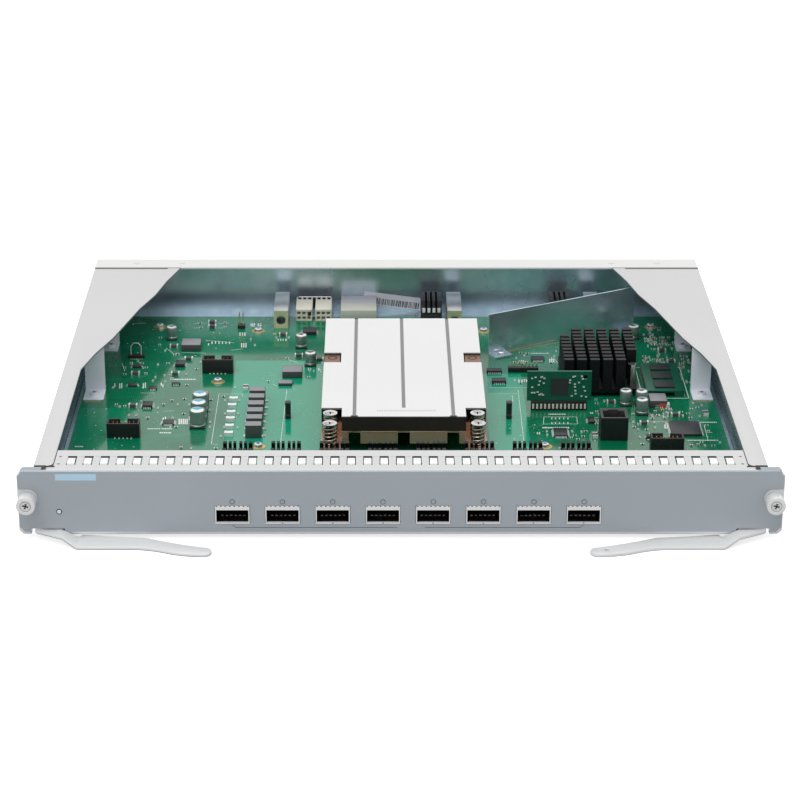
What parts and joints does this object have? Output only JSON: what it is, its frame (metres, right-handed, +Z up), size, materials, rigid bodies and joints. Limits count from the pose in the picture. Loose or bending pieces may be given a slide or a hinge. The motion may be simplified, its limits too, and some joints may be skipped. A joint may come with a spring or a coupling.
{
  "type": "switch line card",
  "caption": "Sheet metal line card, its cover cut open over a green board with heat sinks, and a front panel with pluggable ports, ejector levers and captive screws.",
  "frame": {"origin": "under the middle of the card at rest, at the height of the levers' lower faces", "axes": "+X across the panel to the right as seen from the front, +Y from the panel to the backplane, +Z up"},
  "size_m": [0.44, 0.3922, 0.0434],
  "materials": {
    "panel_metal": "satin",
    "overlay_grey": "satin",
    "sheet_steel": "satin",
    "bright_steel": "satin",
    "spring_steel": "gloss",
    "board_green": "gloss",
    "screw_steel": "gloss",
    "cage_steel": "satin",
    "sink_black": "matte",
    "socket_black": "matte",
    "clear_pipe": "gloss",
    "copper": "satin",
    "fin_aluminium": "satin",
    "chip_black": "matte",
    "connector_cream": "matte",
    "can_aluminium": "satin",
    "coil_grey": "matte",
    "guide_metal": "satin",
    "lever_metal": "satin",
    "knob_metal": "satin"
  },
  "bodies": {
    "card": {"tray": "sheet_steel", "cover_left": "sheet_steel", "cover_right": "sheet_steel", "front_panel": "panel_metal", "face_overlay": "overlay_grey", "front_rail": "bright_steel", "finger_strip": "spring_steel", "main_board": "board_green", "standoffs": "screw_steel", "board_screws": "screw_steel", "port_sockets": "socket_black", "light_pipes": "clear_pipe", "cooler_base": "copper", "cooler_fins": "fin_aluminium", "cooler_screws": "screw_steel", "cooler_springs": "spring_steel", "covered_chips": "chip_black", "pin_cooler": "sink_black", "pin_cooler_screws": "screw_steel", "air_baffle": "sheet_steel", "front_brackets": "bright_steel", "rear_brackets": "bright_steel", "box_headers": "socket_black", "jumper_headers": "socket_black", "service_jack": "socket_black", "riser_board": "board_green", "riser_socket": "socket_black", "memory_board": "board_green", "capacitors": "can_aluminium", "power_inductors": "coil_grey", "board_chips": "chip_black", "guide_blocks": "guide_metal", "power_plugs": "connector_cream", "signal_plugs": "connector_cream", "lever_pivots": "screw_steel", "screw_sleeves": "screw_steel", "port_cage_1": "cage_steel", "port_sink_1": "sink_black", "port_cage_2": "cage_steel", "port_sink_2": "sink_black", "port_cage_3": "cage_steel", "port_sink_3": "sink_black", "port_cage_4": "cage_steel", "port_sink_4": "sink_black", "port_cage_5": "cage_steel", "port_sink_5": "sink_black", "port_cage_6": "cage_steel", "port_sink_6": "sink_black", "port_cage_7": "cage_steel", "port_sink_7": "sink_black", "port_cage_8": "cage_steel", "port_sink_8": "sink_black"},
    "left_lever_body": {"left_lever": "lever_metal"},
    "right_lever_body": {"right_lever": "lever_metal"},
    "left_slider": {"left_ring": "spring_steel", "left_spring": "spring_steel"},
    "right_slider": {"right_ring": "spring_steel", "right_spring": "spring_steel"},
    "left_screw": {"left_knob": "knob_metal"},
    "right_screw": {"right_knob": "knob_metal"}
  },
  "joints": [
    {"name": "left_lever_swing", "type": "hinge", "parent": "card", "child": "left_lever_body", "pos_m": [-0.204, -0.16575, 0.0051], "axis": [0, 0, 1], "range_deg": [-45, 0]},
    {"name": "right_lever_swing", "type": "hinge", "parent": "card", "child": "right_lever_body", "pos_m": [0.204, -0.16575, 0.0051], "axis": [0, 0, 1], "range_deg": [0, 45]},
    {"name": "left_screw_push", "type": "slide", "parent": "card", "child": "left_slider", "axis": [0, 1, 0], "range_m": [0, 0.0035], "stiffness_N_per_m": 300, "deforming": ["left_spring"]},
    {"name": "left_screw_turn", "type": "hinge", "parent": "left_slider", "child": "left_screw", "pos_m": [-0.214, -0.17975, 0.0262], "axis": [0, 1, 0], "continuous": true},
    {"name": "right_screw_push", "type": "slide", "parent": "card", "child": "right_slider", "axis": [0, 1, 0], "range_m": [0, 0.0035], "stiffness_N_per_m": 300, "deforming": ["right_spring"]},
    {"name": "right_screw_turn", "type": "hinge", "parent": "right_slider", "child": "right_screw", "pos_m": [0.214, -0.17975, 0.0262], "axis": [0, 1, 0], "continuous": true}
  ]
}
